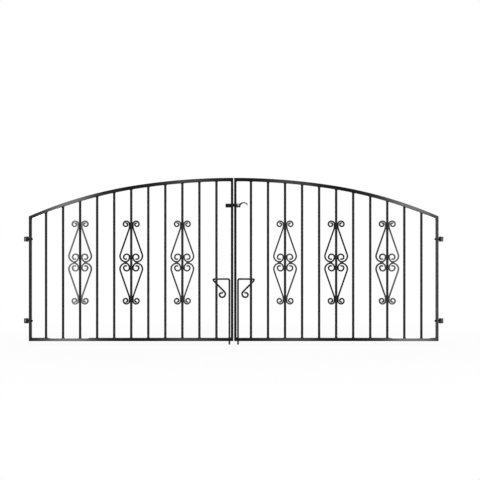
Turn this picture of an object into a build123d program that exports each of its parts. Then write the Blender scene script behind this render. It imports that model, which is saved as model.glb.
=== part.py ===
from build123d import *
import os
from math import atan2, cos, degrees, radians, sin

os.makedirs("parts", exist_ok=True)

# A pair of bow-top driveway gates between two piers, seen from the road.
# +X runs across the opening, +Y into the garden, +Z up.
# The origin is on the pier face, behind the middle of the lower left hinge bracket.

# Opening and leaves
opening_width = 2743.0
meeting_gap = 5.2
stile_thickness = 16.0
rail_thickness = 20.0
bow_thickness = 22.0
frame_depth = 30.0
arris_radius = 1.2
lower_hinge_height = 132.0
hinge_spacing = 535.0

# Bow: a flat arc over the middle, then a tighter one down to each hinge stile
crown_height = 1057.0
crown_radius = 4200.0
crown_angle = 8.6
shoulder_radius = 2830.0
shoulder_angle = 24.0

# Infill bars
bar_diameter = 16.0
bar_count = 11
bar_pitch = 111.6

# Scrolls
scroll_bars = (3, 6, 9)
scroll_thickness = 10.0
scroll_depth = 12.0
scroll_height = 513.8
scroll_let_in = 2.0
weld_gap = 0.2
lobe_radius = 37.0
lobe_entry_radius = 22.0
lobe_entry_angle = 50.0
lobe_side_radius = 36.0
lobe_inner_radii = (18.5, 20.0, 13.0, 12.0)
lobe_end_angle = 45.0
scroll_lean = 19.2
lean_radius = 60.0
bar_weld_length = 13.0
top_curl_radii = (20.5, 19.5, 15.0, 12.6, 9.5)
top_end_angle = 120.0

# Hinges
pin_diameter = 8.0
running_clearance = 0.08
bracket_plate = 5.0
bracket_plate_width = 20.0
bracket_height = 31.0
ear_thickness = 5.0
ear_radius = 11.0
pin_reach = 18.0
pin_to_stile = 14.0
pin_head_radius = 6.0
pin_head_height = 2.0
eye_radius = 10.0
eye_end_gap = 0.3
collar_radius = 7.0
shank_diameter = 8.0
shank_hole_clearance = 0.25
thread_clearance = 0.05
nut_width = 13.0
nut_height = 6.5
nut_corner_chamfer = 1.0
shank_tail = 1.5

# Latch
latch_drop = 169.5
latch_flat = 5.0
latch_band = 25.0
keeper_reach = 54.0
keeper_lip_reach = 20.0
keeper_lip_height = 12.0
latch_plate_reach = 44.0
lever_thickness = 6.0
lever_side_gap = 5.0
lever_rest_gap = 0.3
lever_nose_reach = 50.0
lever_heel_reach = 43.0
heel_cut = 3.0
pivot_reach = 30.0
pivot_diameter = 8.0
pivot_head_height = 6.0
washer_radius = 8.0
washer_gap = 0.3
tail_width = 7.6
tail_back_radius = 48.0
tail_back_angle = 50.0
tail_inner_radius = 24.0
tail_inner_angle = 65.0
tail_fall_radius = 24.5
tail_fall_angle = 74.0
tail_top_reach = 67.5
tail_top_rise = 19.0
tail_taper = 2.0

# Drop bolts
rod_diameter = 12.0
rod_offset = 28.2
rod_foot_drop = 23.6
rod_hole_clearance = 0.5
rod_bar_clearance = 1.0
rod_tip_chamfer = 1.5
handle_height = 406.0
handle_end_offset = 133.0
handle_return_offset = 133.5
handle_return_drop = 10.6
handle_bend_radius = 10.0
curl_start_offset = 61.2
curl_start_drop = 84.2
curl_entry_radius = 21.5
curl_radii = (21.5, 17.0, 12.1)
curl_tip = 11.5

# Places worked out from the sizes above
gate_middle = opening_width / 2
stile_outer = pin_reach + pin_to_stile
stile_inner = stile_outer + stile_thickness
meeting_face = gate_middle - meeting_gap / 2
meeting_stile_side = meeting_face - stile_thickness
leaf_middle = (stile_outer + meeting_face) / 2
underside = -lower_hinge_height
rail_top = underside + rail_thickness
back_face = frame_depth / 2
centre_plane = Plane.YZ.offset(gate_middle)
bar_radius = bar_diameter / 2
bar_places = [leaf_middle + (n - (bar_count + 1) / 2) * bar_pitch for n in range(1, bar_count + 1)]


def save(piece, node):
    """Label a finished piece and write it as its own file."""
    piece.part.label = node
    export_step(piece.part, f"parts/{node}.step")


def save_pair(piece, name):
    """Write a piece of the left leaf, and its mirror image on the right leaf."""
    save(piece, f"left_{name}")
    with BuildPart() as mirrored:
        mirror(piece.part, about=centre_plane)
    save(mirrored, f"right_{name}")


# The bow

crown_centre = (gate_middle, underside + crown_height - crown_radius)
centre_shift = crown_radius - shoulder_radius
shoulder_centre = (
    crown_centre[0] - centre_shift * sin(radians(crown_angle)),
    crown_centre[1] + centre_shift * cos(radians(crown_angle)),
)

with BuildPart() as bow:
    with BuildLine(Plane.XZ) as bow_line:
        CenterArc(crown_centre, crown_radius, 90, crown_angle)
        CenterArc(shoulder_centre, shoulder_radius, 90 + crown_angle, shoulder_angle)
    bow_path = bow_line.wires()[0]
    with BuildSketch(Plane(bow_path @ 0, x_dir=(0, 1, 0), z_dir=bow_path % 0)):
        RectangleRounded(frame_depth, bow_thickness, arris_radius)
    sweep(path=bow_path)
    with BuildSketch(Plane.XZ):
        with Locations((leaf_middle, underside + crown_height)):
            Rectangle(meeting_face - stile_outer, crown_height)
    extrude(amount=frame_depth, both=True, mode=Mode.INTERSECT)
save(bow, "left_bow")

# The bow is the same front and back, so turned about it is the right one
with BuildPart() as right_bow:
    add(bow.part.rotate(Axis((gate_middle, 0, 0), (0, 0, 1)), 180))
save(right_bow, "right_bow")

# The area below the bow, which trims whatever stands under it
with BuildSketch(Plane.XZ) as below_bow:
    with BuildLine():
        half_bow = bow_thickness / 2
        crown = CenterArc(crown_centre, crown_radius - half_bow, 90, crown_angle)
        shoulder = CenterArc(shoulder_centre, shoulder_radius - half_bow, 90 + crown_angle, shoulder_angle)
        far = shoulder @ 1
        low = underside - rail_thickness
        Polyline(far, (far.X, low), (gate_middle, low), crown @ 0)
    make_face()


# The rest of the frame

def stile(outer, inner):
    """A flat bar that stands on the underside level and meets the bow from below."""
    with BuildPart() as piece:
        with BuildSketch(Plane.XY.offset(underside)):
            with Locations(((outer + inner) / 2, 0)):
                RectangleRounded(inner - outer, frame_depth, arris_radius)
        extrude(amount=crown_height)
        extrude(below_bow.sketch, amount=frame_depth, both=True, mode=Mode.INTERSECT)
    return piece


with BuildPart() as hinge_stile:
    add(stile(stile_outer, stile_inner).part)
    for height in (0, hinge_spacing):
        with Locations(Plane.YZ.offset(stile_outer)):
            with Locations((0, height)):
                Hole(shank_diameter / 2 + shank_hole_clearance, depth=stile_thickness)
save_pair(hinge_stile, "hinge_stile")

save_pair(stile(meeting_stile_side, meeting_face), "meeting_stile")

rod_place = gate_middle - rod_offset
rod_radius = rod_diameter / 2

with BuildPart() as bottom_rail:
    with BuildSketch(Plane.YZ.offset(stile_inner)):
        with Locations((0, underside + rail_thickness / 2)):
            RectangleRounded(frame_depth, rail_thickness, arris_radius)
    extrude(amount=meeting_stile_side - stile_inner)
    with Locations((rod_place, 0, rail_top)):
        Hole(rod_radius + rod_hole_clearance, depth=rail_thickness)
save_pair(bottom_rail, "bottom_rail")

with BuildPart() as infill_bars:
    with BuildSketch(Plane.XY.offset(rail_top)):
        with Locations([(x, 0) for x in bar_places]):
            Circle(bar_radius)
    extrude(amount=crown_height)
    extrude(below_bow.sketch, amount=frame_depth, both=True, mode=Mode.INTERSECT)
save_pair(infill_bars, "infill_bars")


# Scroll panels: two strips above and two below, each welded to its bar

def curl_in(start, heading, radii, end_angle):
    """Quarter turns to the left that tighten, the last of them turning by its own angle."""
    for radius in radii:
        turn = end_angle if radius == radii[-1] else 90
        bend = JernArc(start, heading, radius, turn)
        start = bend @ 1
        heading = bend % 1


def scroll_strip():
    """The upper left strip of a panel, drawn about the bar's middle."""
    contact = scroll_let_in - (bar_radius + scroll_thickness / 2 + weld_gap)
    entry_reach = lobe_entry_radius * sin(radians(lobe_entry_angle))
    side_reach = lobe_side_radius * (1 - sin(radians(lobe_entry_angle)))
    foot = (contact - entry_reach - side_reach, (scroll_thickness + weld_gap) / 2)
    with BuildSketch(Plane.XZ) as strip:
        with BuildLine():
            entry = JernArc(foot, (1, 0), lobe_entry_radius, lobe_entry_angle)
            side = JernArc(entry @ 1, entry % 1, lobe_side_radius, 90 - lobe_entry_angle)
            curl_in(side @ 1, side % 1, lobe_inner_radii, lobe_end_angle)
            lobe = JernArc(foot, (-1, 0), lobe_radius, -(90 + scroll_lean))
            lean = lobe % 1
            set_over = contact - (lobe @ 1).X - lean_radius * (1 - cos(radians(scroll_lean)))
            run = set_over / sin(radians(scroll_lean))
            diagonal = Line(lobe @ 1, lobe @ 1 + lean * run)
            upright = JernArc(diagonal @ 1, lean, lean_radius, scroll_lean)
            weld = Line(upright @ 1, upright @ 1 + Vector(0, bar_weld_length))
            curl_in(weld @ 1, (0, 1), top_curl_radii, top_end_angle)
        trace(line_width=scroll_thickness)
    return strip.sketch


with BuildPart() as corner_strip:
    extrude(scroll_strip(), amount=scroll_depth / 2, both=True)

for number, bar in enumerate(scroll_bars, start=1):
    with BuildPart() as scroll_panel:
        with Locations((bar_places[bar - 1], 0, underside + scroll_height)):
            add(corner_strip.part)
            add(mirror(corner_strip.part, about=Plane.YZ, mode=Mode.PRIVATE))
            add(mirror(corner_strip.part, about=Plane.XY, mode=Mode.PRIVATE))
            add(corner_strip.part.rotate(Axis.Y, 180))
        with BuildSketch(Plane.XY.offset(underside)):
            with Locations((bar_places[bar - 1], 0)):
                Circle(bar_radius + weld_gap)
        extrude(amount=crown_height, mode=Mode.SUBTRACT)
    save_pair(scroll_panel, f"scroll_panel_{number}")


# Hinges: a bracket and pin on the pier, a shouldered eye bolt through the stile

def hexagon_nut(plane, height, bore):
    """A hexagon nut standing on a plane, with the corners of its outer face turned off."""
    corner_radius = nut_width / 2 / cos(radians(30))
    with BuildPart() as nut:
        with BuildSketch(plane):
            Circle(corner_radius)
        extrude(amount=height)
        outer_edge = nut.edges().filter_by(GeomType.CIRCLE).sort_by(Axis(plane.origin, plane.z_dir))[-1]
        chamfer(outer_edge, nut_corner_chamfer)
        with BuildSketch(plane):
            RegularPolygon(nut_width / 2, 6, major_radius=False)
            if bore:
                Circle(bore, mode=Mode.SUBTRACT)
        extrude(amount=height, mode=Mode.INTERSECT)
    return nut.part


pin_radius = pin_diameter / 2
shank_radius = shank_diameter / 2
ear_gap = bracket_height - 2 * ear_thickness

for place, height in (("lower", 0), ("upper", hinge_spacing)):
    with BuildPart() as bracket:
        with BuildSketch(Plane.YZ):
            with Locations((0, height)):
                Rectangle(bracket_plate_width, bracket_height)
        extrude(amount=bracket_plate)
        for ear_bottom in (height - bracket_height / 2, height + ear_gap / 2):
            with BuildSketch(Plane.XY.offset(ear_bottom)):
                with Locations((pin_reach / 2, 0)):
                    Rectangle(pin_reach, 2 * ear_radius)
                with Locations((pin_reach, 0)):
                    Circle(ear_radius)
                    Circle(pin_radius, mode=Mode.SUBTRACT)
            extrude(amount=ear_thickness)
    save_pair(bracket, f"{place}_hinge_bracket")

    with BuildPart() as pin:
        with BuildSketch(Plane.XY.offset(height - bracket_height / 2 - pin_head_height)):
            with Locations((pin_reach, 0)):
                Circle(pin_radius)
        extrude(amount=bracket_height + pin_head_height)
        with BuildSketch(Plane.XY.offset(height + bracket_height / 2)):
            with Locations((pin_reach, 0)):
                Circle(pin_head_radius)
        extrude(amount=pin_head_height)
    save_pair(pin, f"{place}_hinge_pin")

    with BuildPart() as eye_bolt:
        with BuildSketch(Plane.XY.offset(height - ear_gap / 2 + eye_end_gap)):
            with Locations((pin_reach, 0)):
                Circle(eye_radius)
        extrude(amount=ear_gap - 2 * eye_end_gap)
        with BuildSketch(Plane.YZ.offset(pin_reach)):
            with Locations((0, height)):
                Circle(collar_radius)
        extrude(amount=pin_to_stile)
        with BuildSketch(Plane.YZ.offset(pin_reach)):
            with Locations((0, height)):
                Circle(shank_radius)
        extrude(amount=stile_inner + nut_height + shank_tail - pin_reach)
        with Locations(Plane.XY.offset(height)):
            with Locations((pin_reach, 0)):
                Hole(pin_radius + running_clearance)
    save_pair(eye_bolt, f"{place}_eye_bolt")

    with BuildPart() as eye_nut:
        nut_seat = Plane((stile_inner, 0, height), x_dir=(0, 1, 0), z_dir=(1, 0, 0))
        add(hexagon_nut(nut_seat, nut_height, shank_radius + thread_clearance))
    save_pair(eye_nut, f"{place}_eye_nut")


# Latch: a keeper on the left leaf, a plate and lever on the right leaf

latch_middle = underside + crown_height - latch_drop
latch_bottom = latch_middle - latch_band / 2
lever_front = back_face + latch_flat + lever_side_gap
lever_back = lever_front + lever_thickness
lip_front = lever_back + lever_side_gap

with BuildPart() as latch_keeper:
    with BuildSketch(Plane.XY.offset(latch_bottom)):
        with Locations((gate_middle - keeper_reach, back_face)):
            Rectangle(keeper_reach - meeting_gap / 2, latch_flat, align=Align.MIN)
    extrude(amount=latch_band)
    with BuildSketch(Plane.XY.offset(latch_bottom)):
        with Locations((gate_middle - keeper_reach, back_face)):
            Rectangle(keeper_reach - keeper_lip_reach, lip_front + latch_flat - back_face, align=Align.MIN)
    extrude(amount=latch_flat)
    with BuildSketch(Plane.XY.offset(latch_bottom)):
        with Locations((gate_middle - keeper_reach, lip_front)):
            Rectangle(keeper_reach - keeper_lip_reach, latch_flat, align=Align.MIN)
    extrude(amount=latch_flat + keeper_lip_height)
save(latch_keeper, "latch_keeper")

pivot_x = gate_middle + pivot_reach
lever_bottom = latch_bottom + latch_flat + lever_rest_gap
lever_height = latch_band - latch_flat
pivot_z = lever_bottom + lever_height / 2
pivot_radius = pivot_diameter / 2

with BuildPart() as latch_plate:
    with BuildSketch(Plane.XZ.offset(-back_face)):
        with Locations((gate_middle + meeting_gap / 2, latch_bottom)):
            Rectangle(latch_plate_reach - meeting_gap / 2, latch_band, align=Align.MIN)
        with Locations((pivot_x, pivot_z)):
            Circle(pivot_radius + thread_clearance, mode=Mode.SUBTRACT)
    extrude(amount=-latch_flat)
save(latch_plate, "latch_plate")

with BuildPart() as latch_lever:
    with BuildSketch(Plane.XZ.offset(-lever_front)):
        nose_x = gate_middle - lever_nose_reach
        heel_x = gate_middle + lever_heel_reach
        with BuildLine():
            Polyline(
                (nose_x, lever_bottom),
                (heel_x - heel_cut, lever_bottom),
                (heel_x, lever_bottom + heel_cut),
                (heel_x, lever_bottom + lever_height),
                (nose_x, lever_bottom + lever_height),
                close=True,
            )
        make_face()
        half = tail_width / 2
        tail_x = gate_middle + tail_top_reach
        tail_z = latch_middle + tail_top_rise
        with BuildLine():
            back = JernArc((tail_x, tail_z + half), (-1, 0), tail_back_radius, tail_back_angle)
            inner = JernArc((tail_x, tail_z - half), (-1, 0), tail_inner_radius, tail_inner_angle)
            heel_corner = (heel_x, lever_bottom + heel_cut)
            Polyline(back @ 1, (heel_x - heel_cut, lever_bottom + heel_cut), heel_corner, inner @ 1)
            upper_fall = JernArc(
                (tail_x, tail_z + half), (1, 0), tail_fall_radius + half - tail_taper, -tail_fall_angle
            )
            lower_fall = JernArc(
                (tail_x, tail_z - half), (1, 0), tail_fall_radius - half + tail_taper, -tail_fall_angle
            )
            Line(upper_fall @ 1, lower_fall @ 1)
        make_face()
        with Locations((pivot_x, pivot_z)):
            Circle(pivot_radius + running_clearance, mode=Mode.SUBTRACT)
    extrude(amount=-lever_thickness)
save(latch_lever, "latch_lever")

plate_back = back_face + latch_flat


def pivot_plane(depth, towards):
    """A plane across the pivot at a depth, facing the road (-1) or the garden (1)."""
    return Plane((pivot_x, depth, pivot_z), x_dir=(1, 0, 0), z_dir=(0, towards, 0))


with BuildPart() as pivot_bolt:
    add(hexagon_nut(pivot_plane(back_face, -1), pivot_head_height, 0))
    with BuildSketch(pivot_plane(back_face, 1)):
        Circle(pivot_radius)
    extrude(amount=lever_back + washer_gap + nut_height + shank_tail - back_face)
save(pivot_bolt, "latch_pivot_bolt")

with BuildPart() as pivot_spacer:
    with BuildSketch(pivot_plane(plate_back, 1)):
        Circle(washer_radius)
        Circle(pivot_radius + thread_clearance, mode=Mode.SUBTRACT)
    extrude(amount=lever_side_gap - washer_gap)
save(pivot_spacer, "latch_pivot_spacer")

with BuildPart() as pivot_nut:
    add(hexagon_nut(pivot_plane(lever_back + washer_gap, 1), nut_height, pivot_radius + thread_clearance))
save(pivot_nut, "latch_pivot_nut")


# Drop bolts: a rod through the bottom rail, its handle bent round the last bar

with BuildPart() as drop_bolt:
    last_bar = bar_places[-1]
    pass_gap = bar_radius + rod_radius + rod_bar_clearance
    handle_z = underside + handle_height
    end_x = gate_middle - handle_end_offset
    end_y = -pass_gap * (rod_place - end_x) / (rod_place - last_bar)
    return_x = gate_middle - handle_return_offset
    return_z = handle_z - handle_return_drop
    curl_x = gate_middle - curl_start_offset
    curl_z = handle_z - curl_start_drop
    handle_slope = degrees(atan2(return_z - curl_z, curl_x - return_x))
    with BuildLine() as centreline:
        bent = FilletPolyline(
            (rod_place, 0, underside - rod_foot_drop),
            (rod_place, 0, handle_z),
            (end_x, end_y, handle_z),
            (return_x, pass_gap, return_z),
            (curl_x, pass_gap, curl_z),
            radius=handle_bend_radius,
        )
    with BuildLine(Plane.XZ.offset(-pass_gap)) as curl:
        heading = (cos(radians(handle_slope)), -sin(radians(handle_slope)))
        bend = JernArc((curl_x, curl_z), heading, curl_entry_radius, handle_slope - 90)
        for radius in curl_radii:
            start = ((bend @ 1).X, (bend @ 1).Z)
            heading = ((bend % 1).X, (bend % 1).Z)
            bend = JernArc(start, heading, radius, -90)
        tip = bend @ 1
        Line((tip.X, tip.Z), (tip.X + curl_tip, tip.Z))
    with BuildLine() as whole_line:
        add(bent)
        add(curl.line)
    with BuildSketch(Plane.XY.offset(underside - rod_foot_drop)):
        with Locations((rod_place, 0)):
            Circle(rod_radius)
    sweep(path=whole_line.wires()[0])
    chamfer(drop_bolt.edges().filter_by(GeomType.CIRCLE).sort_by(Axis.Z)[0], rod_tip_chamfer)
save_pair(drop_bolt, "drop_bolt")
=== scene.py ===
import math
import bpy
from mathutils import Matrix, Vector
from mathutils.bvhtree import BVHTree


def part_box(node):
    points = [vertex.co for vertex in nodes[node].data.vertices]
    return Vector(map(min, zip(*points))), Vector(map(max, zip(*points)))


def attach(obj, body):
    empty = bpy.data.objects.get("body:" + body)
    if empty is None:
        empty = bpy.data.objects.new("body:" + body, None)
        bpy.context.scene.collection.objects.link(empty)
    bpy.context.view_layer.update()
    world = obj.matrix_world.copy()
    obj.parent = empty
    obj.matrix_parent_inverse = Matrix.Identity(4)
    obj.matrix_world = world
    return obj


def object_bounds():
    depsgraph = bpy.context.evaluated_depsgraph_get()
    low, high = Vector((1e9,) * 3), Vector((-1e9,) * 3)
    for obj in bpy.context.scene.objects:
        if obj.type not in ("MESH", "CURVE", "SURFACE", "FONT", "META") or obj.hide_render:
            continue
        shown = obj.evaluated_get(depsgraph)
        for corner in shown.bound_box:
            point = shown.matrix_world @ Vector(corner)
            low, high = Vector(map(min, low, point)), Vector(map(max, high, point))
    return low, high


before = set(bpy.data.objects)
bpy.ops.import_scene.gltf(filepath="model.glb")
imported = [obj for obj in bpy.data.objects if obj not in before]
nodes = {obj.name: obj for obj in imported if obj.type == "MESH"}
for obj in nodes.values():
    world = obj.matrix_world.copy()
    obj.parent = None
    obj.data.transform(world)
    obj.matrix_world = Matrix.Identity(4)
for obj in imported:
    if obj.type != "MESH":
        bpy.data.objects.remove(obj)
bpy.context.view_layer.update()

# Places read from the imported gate, in metres
gate_middle = (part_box("left_bow")[0].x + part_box("right_bow")[1].x) / 2
rail_low, rail_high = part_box("left_bottom_rail")
frame_back = rail_high.y
rail_top = rail_high.z
hinge_stile_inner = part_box("left_hinge_stile")[1].x
left_meeting_low, left_meeting_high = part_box("left_meeting_stile")
right_meeting_low, right_meeting_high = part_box("right_meeting_stile")
BAR_COUNT = 11
bars_low, bars_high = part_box("left_infill_bars")
bar_radius = (bars_high.y - bars_low.y) / 2
bar_pitch = (bars_high.x - bars_low.x - 2 * bar_radius) / (BAR_COUNT - 1)
bar_places = [bars_low.x + bar_radius + n * bar_pitch for n in range(BAR_COUNT)]

# Camera: level, square to the gate, on the road side. One picture element of the photo
# is PIXEL metres at the gate, whose middle and underside lie at these picture elements
PICTURE_SIDE = 480
PIXEL = 0.00655
GATE_MIDDLE_PIXEL = 233.7
UNDERSIDE_PIXEL = 340.95
CAMERA_DISTANCE = 7.3
SENSOR = 36.0
camera_x = gate_middle + (PICTURE_SIDE / 2 - GATE_MIDDLE_PIXEL) * PIXEL
camera_z = rail_low.z + (UNDERSIDE_PIXEL - PICTURE_SIDE / 2) * PIXEL

camera_data = bpy.data.cameras.new("camera")
camera_data.sensor_width = SENSOR
camera_data.lens = SENSOR * CAMERA_DISTANCE / (PICTURE_SIDE * PIXEL)
camera = bpy.data.objects.new("camera", camera_data)
camera.location = (camera_x, -CAMERA_DISTANCE, camera_z)
camera.rotation_euler = (math.radians(90), 0, 0)
bpy.context.scene.collection.objects.link(camera)
bpy.context.scene.camera = camera


# Node trees

class Value:
    """An output of a node, on which sums can be written."""

    def __init__(self, graph, socket):
        self.graph = graph
        self.socket = socket

    def sum_of(self, operation, first, second):
        return self.graph.maths(operation, first, second)

    def __add__(self, other):
        return self.sum_of("ADD", self, other)

    def __radd__(self, other):
        return self.sum_of("ADD", other, self)

    def __sub__(self, other):
        return self.sum_of("SUBTRACT", self, other)

    def __mul__(self, other):
        return self.sum_of("MULTIPLY", self, other)

    def __truediv__(self, other):
        return self.sum_of("DIVIDE", self, other)


class Graph:
    """A node tree being built."""

    def __init__(self, tree):
        self.tree = tree
        self.tree.nodes.clear()

    def add(self, kind, settings=None, inputs=None, output=0):
        """Add a node with its settings and sockets, and give one of its outputs."""
        node = self.tree.nodes.new(kind)
        for name, setting in (settings or {}).items():
            if name == "stops":
                ramp = node.color_ramp.elements
                for place, (position, colour) in enumerate(setting):
                    stop = ramp[place] if place < 2 else ramp.new(position)
                    stop.position = position
                    stop.color = colour
            else:
                setattr(node, name, setting)
        for name, given in (inputs or {}).items():
            if isinstance(given, Value):
                self.tree.links.new(given.socket, node.inputs[name])
            else:
                node.inputs[name].default_value = given
        return Value(self, node.outputs[output]) if len(node.outputs) else None

    def maths(self, operation, *terms):
        """A sum on single numbers."""
        return self.add("ShaderNodeMath", {"operation": operation}, dict(enumerate(terms)))

    def vector_maths(self, operation, inputs, output=0):
        """A sum on vectors."""
        return self.add("ShaderNodeVectorMath", {"operation": operation}, inputs, output)


class Finish(Graph):
    """A material being built."""

    def __init__(self, name):
        self.material = bpy.data.materials.new(name)
        self.material.use_nodes = True
        super().__init__(self.material.node_tree)

    def noise(self, scale, detail, roughness, stretch=(1, 1, 1)):
        """Noise over the piece's own place, scale in waves a metre, stretched by axis."""
        place = self.add("ShaderNodeTexCoord", {}, {}, "Object")
        mapped = self.add("ShaderNodeMapping", {}, {"Vector": place, "Scale": stretch})
        return self.add("ShaderNodeTexNoise", {}, {
            "Vector": mapped, "Scale": scale, "Detail": detail, "Roughness": roughness})

    def ramp(self, factor, stops):
        return self.add("ShaderNodeValToRGB", {"stops": stops}, {"Fac": factor})

    def bump(self, height, strength, distance, under=None):
        """Surface relief, on top of the relief under it if there is one."""
        inputs = {"Height": height, "Strength": strength, "Distance": distance}
        if under is not None:
            inputs["Normal"] = under
        return self.add("ShaderNodeBump", {}, inputs)

    def matt(self, level):
        return self.add("ShaderNodeBsdfDiffuse", {}, {"Color": grey(level)})

    def glow(self, level):
        return self.add("ShaderNodeEmission", {}, {"Color": grey(level), "Strength": 1.0})

    def blend(self, factor, first, second):
        return self.add("ShaderNodeMixShader", {}, {0: factor, 1: first, 2: second})

    def principled(self, inputs):
        return self.done(self.add("ShaderNodeBsdfPrincipled", {}, inputs))

    def done(self, surface):
        self.add("ShaderNodeOutputMaterial", {}, {"Surface": surface})
        return self.material


def grey(level):
    return (level, level, level, 1.0)


# Paint and plate

def gate_paint():
    """Black gloss paint: a slow swell from the steel below, faint orange peel, uneven gloss."""
    finish = Finish("gate_paint")
    cloud = finish.noise(scale=7.0, detail=4.0, roughness=0.55)
    swell = finish.noise(scale=30.0, detail=2.0, roughness=0.5, stretch=(1.0, 1.0, 0.3))
    peel = finish.noise(scale=650.0, detail=1.5, roughness=0.5)
    coat = finish.ramp(cloud, [(0.35, (0.0052, 0.0052, 0.0056, 1)),
                               (0.68, (0.0078, 0.0079, 0.0084, 1))])
    swollen = finish.bump(swell, strength=0.008, distance=0.0003)
    normal = finish.bump(peel, strength=0.012, distance=0.0001, under=swollen)
    smoothest, unevenness = 0.08, 0.05
    return finish.principled({"Base Color": coat, "Roughness": smoothest + cloud * unevenness,
                              "Normal": normal, "IOR": 1.48})


def zinc_plate():
    """Dull zinc plate with a fine cloudy grain."""
    finish = Finish("zinc_plate")
    cloud = finish.noise(scale=260.0, detail=4.0, roughness=0.6)
    grain = finish.noise(scale=2400.0, detail=2.0, roughness=0.5)
    colour = finish.ramp(cloud, [(0.3, (0.44, 0.44, 0.46, 1)), (0.7, (0.66, 0.66, 0.67, 1))])
    smoothest, unevenness = 0.26, 0.16
    return finish.principled({"Base Color": colour, "Roughness": smoothest + cloud * unevenness,
                              "Metallic": 1.0,
                              "Normal": finish.bump(grain, strength=0.10, distance=0.0001)})


paint = gate_paint()
zinc = zinc_plate()
ZINC_NODES = ("latch_pivot_bolt", "latch_pivot_nut", "latch_pivot_spacer")
for name, node in nodes.items():
    node.data.materials.clear()
    node.data.materials.append(zinc if name in ZINC_NODES else paint)


# Weld beads and threads: a bead laid along each path

BEAD_INPUTS = {"Paths": "NodeSocketGeometry", "Step": "NodeSocketFloat",
               "Ripple Pitch": "NodeSocketFloat", "Ripple Depth": "NodeSocketFloat",
               "Wander": "NodeSocketFloat", "Seed": "NodeSocketFloat",
               "Finish": "NodeSocketMaterial"}
BEAD_SIDES = 8
WANDER_SCALE = 420.0
# An open end starts at this share of the bead, and is full after this many bead sizes
END_SHARE = 0.45
END_REACH = 1.6


def bead_tree():
    """Beads along a wire mesh's edges, rippled, wandering a little, tapered at open ends."""
    tree = bpy.data.node_groups.new("bead", "GeometryNodeTree")
    graph = Graph(tree)
    for name, kind in BEAD_INPUTS.items():
        tree.interface.new_socket(name, in_out="INPUT", socket_type=kind)
    tree.interface.new_socket("Beads", in_out="OUTPUT", socket_type="NodeSocketGeometry")
    group = tree.nodes.new("NodeGroupInput")

    def given(name):
        return Value(graph, group.outputs[name])

    line = graph.add("GeometryNodeMeshToCurve", {}, {"Mesh": given("Paths")})
    line = graph.add("GeometryNodeResampleCurve", {"mode": "LENGTH"}, {
        "Curve": line, "Length": given("Step")})
    place = graph.add("GeometryNodeInputPosition")
    shifted = graph.vector_maths("ADD", {0: place, 1: given("Seed")})
    wild = graph.add("ShaderNodeTexNoise", {}, {
        "Vector": shifted, "Scale": WANDER_SCALE, "Detail": 1.0}, "Color")
    centred = graph.vector_maths("SUBTRACT", {0: wild, 1: (0.5, 0.5, 0.5)})
    offset = graph.vector_maths("SCALE", {0: centred, "Scale": given("Wander")})
    line = graph.add("GeometryNodeSetPosition", {}, {"Geometry": line, "Offset": offset})

    size = graph.add("GeometryNodeInputNamedAttribute", {"data_type": "FLOAT"}, {
        "Name": "bead_size"})
    along = graph.add("GeometryNodeSplineParameter", {}, {}, "Length")
    whole = graph.add("GeometryNodeSplineLength", {}, {}, "Length")
    wave = graph.maths("SINE", along / given("Ripple Pitch") * math.tau)
    lumps = 1.0 + wave * given("Ripple Depth")
    end_gap = graph.maths("MINIMUM", along, whole - along)
    taper = graph.maths("MINIMUM", end_gap / (size * END_REACH) + END_SHARE, 1.0)
    ends = graph.maths("MAXIMUM", taper, graph.add("GeometryNodeInputSplineCyclic"))
    outline = graph.add("GeometryNodeCurvePrimitiveCircle", {}, {
        "Resolution": BEAD_SIDES, "Radius": 1.0})
    beads = graph.add("GeometryNodeCurveToMesh", {}, {
        "Curve": line, "Profile Curve": outline, "Scale": size * lumps * ends,
        "Fill Caps": True})
    beads = graph.add("GeometryNodeSetShadeSmooth", {}, {"Geometry": beads})
    beads = graph.add("GeometryNodeRealizeInstances", {}, {"Geometry": beads})
    beads = graph.add("GeometryNodeSetMaterial", {}, {
        "Geometry": beads, "Material": given("Finish")})
    graph.add("NodeGroupOutput", {}, {"Beads": beads})
    return tree


bead = bead_tree()


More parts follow.
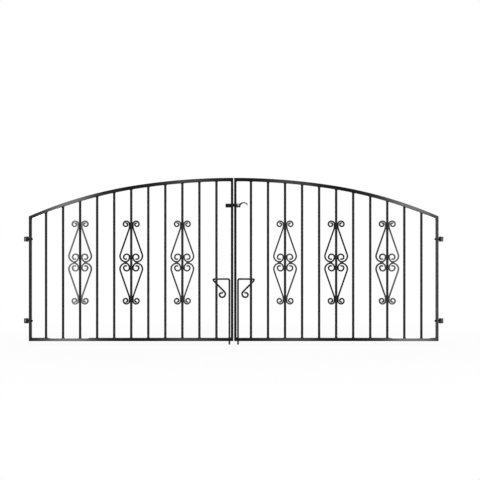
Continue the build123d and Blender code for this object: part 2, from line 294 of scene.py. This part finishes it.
class Paths:
    """Wire paths for one body, each with the radius of the bead on it."""

    def __init__(self):
        self.points = []
        self.edges = []
        self.sizes = []

    def lay(self, points, size, closed=False):
        """Add one path of points."""
        first = len(self.points)
        last = first + len(points) - 1
        self.points += [tuple(point) for point in points]
        self.sizes += [size] * len(points)
        self.edges += [(n, n + 1) for n in range(first, last)]
        if closed:
            self.edges.append((last, first))

    def join(self, other):
        """Add all the paths of another set."""
        start = len(self.points)
        self.points += other.points
        self.sizes += other.sizes
        self.edges += [(a + start, b + start) for a, b in other.edges]

    def mirrored(self):
        """The same paths on the other leaf."""
        other = Paths()
        other.join(self)
        other.points = [(2 * gate_middle - x, y, z) for x, y, z in self.points]
        return other

    def beads(self, name, body, step=0.0011, pitch=0.0026, depth=0.13, wander=0.0006,
              seed=0.0, finish=paint, slot="black_paint"):
        """Turn the paths into beads that ride on a body."""
        wire = bpy.data.meshes.new(name + "_paths")
        wire.from_pydata(self.points, self.edges, [])
        attribute = wire.attributes.new("bead_size", "FLOAT", "POINT")
        attribute.data.foreach_set("value", self.sizes)
        holder = bpy.data.objects.new(name + "_paths", wire)
        bpy.context.scene.collection.objects.link(holder)
        modifier = holder.modifiers.new("bead", "NODES")
        modifier.node_group = bead
        wanted = {"Step": step, "Ripple Pitch": pitch, "Ripple Depth": depth,
                  "Wander": wander, "Seed": seed, "Finish": finish}
        for item in bead.interface.items_tree:
            if item.in_out == "INPUT" and item.name in wanted:
                modifier[item.identifier] = wanted[item.name]
        shape = holder.evaluated_get(bpy.context.evaluated_depsgraph_get())
        mesh = bpy.data.meshes.new_from_object(shape)
        mesh.name = name
        bpy.data.objects.remove(holder)
        if not mesh.materials:
            mesh.materials.append(finish)
        piece = bpy.data.objects.new(name, mesh)
        bpy.context.scene.collection.objects.link(piece)
        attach(piece, body)


bow_mesh = nodes["left_bow"].data
bow_tree = BVHTree.FromPolygons([v.co for v in bow_mesh.vertices],
                                [p.vertices for p in bow_mesh.polygons])
RING_POINTS = 40


def bow_underside(x):
    """The height of the left bow's underside over a place."""
    return bow_tree.ray_cast(Vector((x, 0.0, rail_top)), Vector((0, 0, 1)))[0].z


def ring(x, radius, height):
    """A ring of points round an upright bar, with a function that gives their height."""
    points = []
    for n in range(RING_POINTS):
        angle = math.tau * n / RING_POINTS
        at = x + radius * math.cos(angle)
        points.append((at, radius * math.sin(angle), height(at)))
    return points


# Radii of the beads, and the share of it by which a bead's middle stands off its corner
BAR_BEAD = 0.0021
FRAME_BEAD = 0.0024
SCROLL_BEAD = 0.0019
FOOT_BEAD = 0.0022
PLATE_BEAD = 0.0017
BRACKET_BEAD = 0.0013
HANDLE_BEAD = 0.0023
STAND_OFF = 0.35
FRAME_STAND_OFF = 0.4
EDGE_STAND_OFF = 0.3
# A frame corner's bead ends this far short of the rounded edges
FRAME_END_GAP = 0.0016

# Joins of a scroll panel, measured from its middle: the strips meet the bar between these
# heights, and each other at the feet of the two middle lobes
LOBE_JOIN = (0.0270, 0.0420)
TOP_JOIN = (0.2330, 0.2520)
JOIN_REACH = 0.0066
FOOT_REACH = 0.0365
FOOT_HALF = 0.008
GROOVE_REACH = 0.0085
STRIP_DEPTH = 0.012
JOIN_SINK = 0.0004
join_depth = STRIP_DEPTH / 2 - JOIN_SINK


def bar_welds(paths):
    """A ring at each end of every infill bar."""
    stand_off = BAR_BEAD * STAND_OFF
    for x in bar_places:
        for height in (lambda _: rail_top + stand_off,
                       lambda at: bow_underside(at) - stand_off):
            paths.lay(ring(x, bar_radius + stand_off, height), BAR_BEAD, closed=True)


def frame_welds(paths):
    """The inside corners of the frame."""
    inset = FRAME_BEAD * FRAME_STAND_OFF
    reach = frame_back - FRAME_END_GAP
    for x, side in ((hinge_stile_inner, 1), (left_meeting_low.x, -1)):
        corner = x + side * inset
        for z in (rail_top + inset, bow_underside(corner) - inset):
            paths.lay([(corner, -reach, z), (corner, reach, z)], FRAME_BEAD)


def scroll_welds(paths, number):
    """The joins of one scroll panel's strips, to the bar and to each other."""
    low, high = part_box(f"left_scroll_panel_{number}")
    middle_x, middle_z = (low.x + high.x) / 2, (low.z + high.z) / 2
    for side in (-1, 1):
        join_x = middle_x + side * JOIN_REACH
        foot_x = middle_x + side * FOOT_REACH
        for y in (-join_depth, join_depth):
            for up in (-1, 1):
                for start, end in (LOBE_JOIN, TOP_JOIN):
                    paths.lay([(join_x, y, middle_z + up * start),
                               (join_x, y, middle_z + up * end)], SCROLL_BEAD)
            paths.lay([(foot_x - FOOT_HALF, y, middle_z),
                       (foot_x + FOOT_HALF, y, middle_z)], FOOT_BEAD)
        for x in (foot_x - GROOVE_REACH, foot_x + GROOVE_REACH):
            paths.lay([(x, -join_depth, middle_z), (x, join_depth, middle_z)], FOOT_BEAD)


def plate_welds(paths, plate, stile_from, stile_to, outer_side):
    """Welds round a latch plate on the back of a meeting stile."""
    low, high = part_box(plate)
    start, end = stile_from + STILE_ROUNDING, stile_to - STILE_ROUNDING
    stand_off = PLATE_BEAD * STAND_OFF
    sink = PLATE_BEAD * EDGE_STAND_OFF
    for z in (low.z - sink, high.z + sink):
        paths.lay([(start, frame_back + stand_off, z), (end, frame_back + stand_off, z)],
                  PLATE_BEAD)
    edge = (start if outer_side < 0 else end) + outer_side * stand_off
    paths.lay([(edge, frame_back - sink, low.z + PLATE_BEAD),
               (edge, frame_back - sink, high.z - PLATE_BEAD)], PLATE_BEAD)


STILE_ROUNDING = 0.0014
left_welds = Paths()
bar_welds(left_welds)
frame_welds(left_welds)
for number in (1, 2, 3):
    scroll_welds(left_welds, number)
right_welds = left_welds.mirrored()
plate_welds(left_welds, "latch_keeper", left_meeting_low.x, left_meeting_high.x, -1)
plate_welds(right_welds, "latch_plate", right_meeting_low.x, right_meeting_high.x, 1)
left_welds.beads("left_leaf_welds", "left_leaf", seed=1.7)
right_welds.beads("right_leaf_welds", "right_leaf", seed=5.3)

# Hinge brackets: each ear is welded into the angle of its plate
BRACKET_PLATE = 0.005
BRACKET_EAR = 0.005
BRACKET_WELD_HALF = 0.0088
left_brackets = Paths()
bracket_stand_off = BRACKET_BEAD * STAND_OFF
bracket_face = BRACKET_PLATE + bracket_stand_off
for place in ("lower", "upper"):
    low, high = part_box(f"left_{place}_hinge_bracket")
    for z in (low.z + BRACKET_EAR + bracket_stand_off, high.z - BRACKET_EAR - bracket_stand_off):
        left_brackets.lay([(bracket_face, -BRACKET_WELD_HALF, z),
                           (bracket_face, BRACKET_WELD_HALF, z)], BRACKET_BEAD)
bracket_welds = Paths()
bracket_welds.join(left_brackets)
bracket_welds.join(left_brackets.mirrored())
bracket_welds.beads("hinge_bracket_welds", "hinge_brackets", seed=9.1)

# Threads on the ends of the eye bolts and the latch pivot, which stick out of their nuts
BOLT_TAIL = 0.0015
SHANK_RADIUS = 0.004
THREAD_PITCH = 0.00125
THREAD_DEPTH = 0.00036
THREAD_SINK = 0.3
THREAD_START = 0.0003
THREAD_LENGTH = BOLT_TAIL - 0.0007
TURN_POINTS = 36
THREAD_BEADS = {"step": 0.0006, "depth": 0.0, "wander": 0.0}


def thread(paths, start, axis):
    """A thread round a bolt's end, from a point along an axis."""
    along = Vector(axis)
    across = along.orthogonal().normalized()
    third = along.cross(across)
    points = []
    for n in range(int(TURN_POINTS * (THREAD_LENGTH / THREAD_PITCH)) + 1):
        angle = math.tau * n / TURN_POINTS
        out = across * math.cos(angle) + third * math.sin(angle)
        points.append(Vector(start) + out * (SHANK_RADIUS - THREAD_DEPTH * THREAD_SINK)
                      + along * (THREAD_PITCH * n / TURN_POINTS))
    paths.lay(points, THREAD_DEPTH)


eye_bolt_threads = Paths()
for place in ("lower", "upper"):
    low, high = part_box(f"left_{place}_eye_bolt")
    end = (high.x - BOLT_TAIL + THREAD_START, 0.0, (low.z + high.z) / 2)
    thread(eye_bolt_threads, end, (1, 0, 0))
eye_bolt_threads.beads("left_eye_bolt_threads", "left_leaf", **THREAD_BEADS)
eye_bolt_threads.mirrored().beads("right_eye_bolt_threads", "right_leaf", **THREAD_BEADS)
low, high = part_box("latch_pivot_bolt")
pivot_threads = Paths()
end = ((low.x + high.x) / 2, high.y - BOLT_TAIL + THREAD_START, (low.z + high.z) / 2)
thread(pivot_threads, end, (0, 1, 0))
pivot_threads.beads("latch_pivot_threads", "right_leaf", finish=zinc,
                    slot="zinc_plated_steel", **THREAD_BEADS)

# Drop bolts: the end of each looped handle is welded to the straight part it meets
LOOP_JOIN_REACH = 0.0693
LOOP_JOIN_RISE = 0.3197
LOOP_JOIN_DEPTH = (0.0100, 0.0196)
loop_x = gate_middle - LOOP_JOIN_REACH
loop_z = rail_low.z + LOOP_JOIN_RISE
handle_weld = Paths()
handle_weld.lay([(loop_x, y, loop_z) for y in LOOP_JOIN_DEPTH], HANDLE_BEAD)
handle_weld.beads("left_handle_weld", "left_drop_bolt", seed=3.9)
handle_weld.mirrored().beads("right_handle_weld", "right_drop_bolt", seed=6.1)


# Floor and room

# The camera sees the floor glow this much, and light up by this much more outside a shadow
FLOOR_GLOW = 0.90
FLOOR_SHADE = 0.10
# Between these distances from the gate, the floor fades to plain white
FLOOR_FADE = (1.2, 2.6)
FLOOR_WHITE = 0.8
FLOOR_GAP = 0.004
FLOOR_REACH = 14.0
ROOM_LIGHT = 0.24
floor_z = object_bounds()[0][2] - FLOOR_GAP


def white_stage():
    """A white floor that shows white to the camera, and a little less in the gate's shadow."""
    finish = Finish("white_stage")
    seen = finish.add("ShaderNodeLightPath", {}, {}, "Is Camera Ray")
    matt = finish.matt(FLOOR_WHITE)
    near = finish.add("ShaderNodeAddShader", {}, {
        0: finish.matt(FLOOR_SHADE), 1: finish.glow(FLOOR_GLOW)})
    far = finish.glow(1.0)
    place = finish.add("ShaderNodeTexCoord", {}, {}, "Object")
    reach = finish.vector_maths("DISTANCE", {0: place, 1: (gate_middle, 0.0, floor_z)}, "Value")
    away = finish.add("ShaderNodeMapRange", {}, {
        "Value": reach, "From Min": FLOOR_FADE[0], "From Max": FLOOR_FADE[1]})
    return finish.done(finish.blend(seen, matt, finish.blend(away, near, far)))


def plane(name, corners, material):
    """A flat sheet of the studio, through four corners."""
    mesh = bpy.data.meshes.new(name)
    mesh.from_pydata(corners, [], [(0, 1, 2, 3)])
    mesh.materials.append(material)
    sheet = bpy.data.objects.new(name, mesh)
    bpy.context.scene.collection.objects.link(sheet)
    return sheet


floor_corners = [(gate_middle + x * FLOOR_REACH, y * FLOOR_REACH, floor_z)
                 for x, y in ((-1, -1), (1, -1), (1, 1), (-1, 1))]
floor = plane("floor", floor_corners, white_stage())
floor.visible_glossy = False
floor.visible_shadow = False

# The room is white to the camera and dim to everything else
world = bpy.data.worlds.new("studio")
world.use_nodes = True
room = Graph(world.node_tree)
room.add("ShaderNodeOutputWorld", {}, {"Surface": room.add("ShaderNodeMixShader", {}, {
    0: room.add("ShaderNodeLightPath", {}, {}, "Is Camera Ray"),
    1: room.add("ShaderNodeBackground", {}, {"Color": grey(1.0), "Strength": ROOM_LIGHT}),
    2: room.add("ShaderNodeBackground", {}, {"Color": grey(1.0), "Strength": 1.0})})})
bpy.context.scene.world = world


# Lamps

def soft_lamp(name, place, width, height, brightness):
    """A soft lamp that faces the gate, as bright all over as brightness times white."""
    data = bpy.data.lights.new(name, "AREA")
    data.shape = "RECTANGLE"
    data.size = width
    data.size_y = height
    data.energy = brightness * math.pi * width * height
    lamp = bpy.data.objects.new(name, data)
    lamp.location = place
    lamp.rotation_euler = (gate_centre - Vector(place)).to_track_quat("-Z", "Y").to_euler()
    lamp.visible_camera = False
    bpy.context.scene.collection.objects.link(lamp)


gate_centre = Vector((camera_x, 0, camera_z))
# Upright cards show in the paint of the flat fronts: name, reach to each side of the
# camera, depth and brightness
CARDS = (("outer_card", 2.24, -CAMERA_DISTANCE, 5.5),
         ("inner_card", 0.68, -CAMERA_DISTANCE, 1.4),
         ("back_card", 2.24, CAMERA_DISTANCE, 4.0))
CARD_WIDTH = 0.5
CARD_HEIGHT = 3.6
for side in (-1, 1):
    for name, reach, depth, brightness in CARDS:
        place = (camera_x + side * reach, depth, camera_z)
        soft_lamp(f"{name}_{side}", place, CARD_WIDTH, CARD_HEIGHT, brightness)
# Lamps over the gate: name, depth, rise over the camera and brightness
LAMPS = (("front_lamp", -5.0, 4.2, 10.0), ("top_lamp", -0.6, 4.0, 2.0),
         ("back_lamp", 5.0, 4.2, 6.0))
LAMP_WIDTH = 4.0
LAMP_HEIGHT = 1.5
for name, depth, rise, brightness in LAMPS:
    place = (camera_x, depth, camera_z + rise)
    soft_lamp(name, place, LAMP_WIDTH, LAMP_HEIGHT, brightness)

# Dark flags between the cards, seen in the paint alone: name, offset and width
FLAGS = (("left_flag", -1.39, 0.34), ("middle_flag", 0.0, 0.3), ("right_flag", 1.39, 0.34))
FLAG_BEHIND = 0.3
FLAG_LEVEL = 0.01
flag_black = Finish("flag_black")
flag_black = flag_black.done(flag_black.matt(FLAG_LEVEL))
flag_low, flag_high = camera_z - CARD_HEIGHT / 2, camera_z + CARD_HEIGHT / 2
flag_y = -CAMERA_DISTANCE - FLAG_BEHIND
for name, offset, width in FLAGS:
    left, right = camera_x + offset - width / 2, camera_x + offset + width / 2
    flag = plane(name, [(left, flag_y, flag_low), (right, flag_y, flag_low),
                        (right, flag_y, flag_high), (left, flag_y, flag_high)], flag_black)
    flag.visible_camera = False
    flag.visible_diffuse = False
    flag.visible_shadow = False

bpy.context.scene.view_settings.view_transform = "Standard"
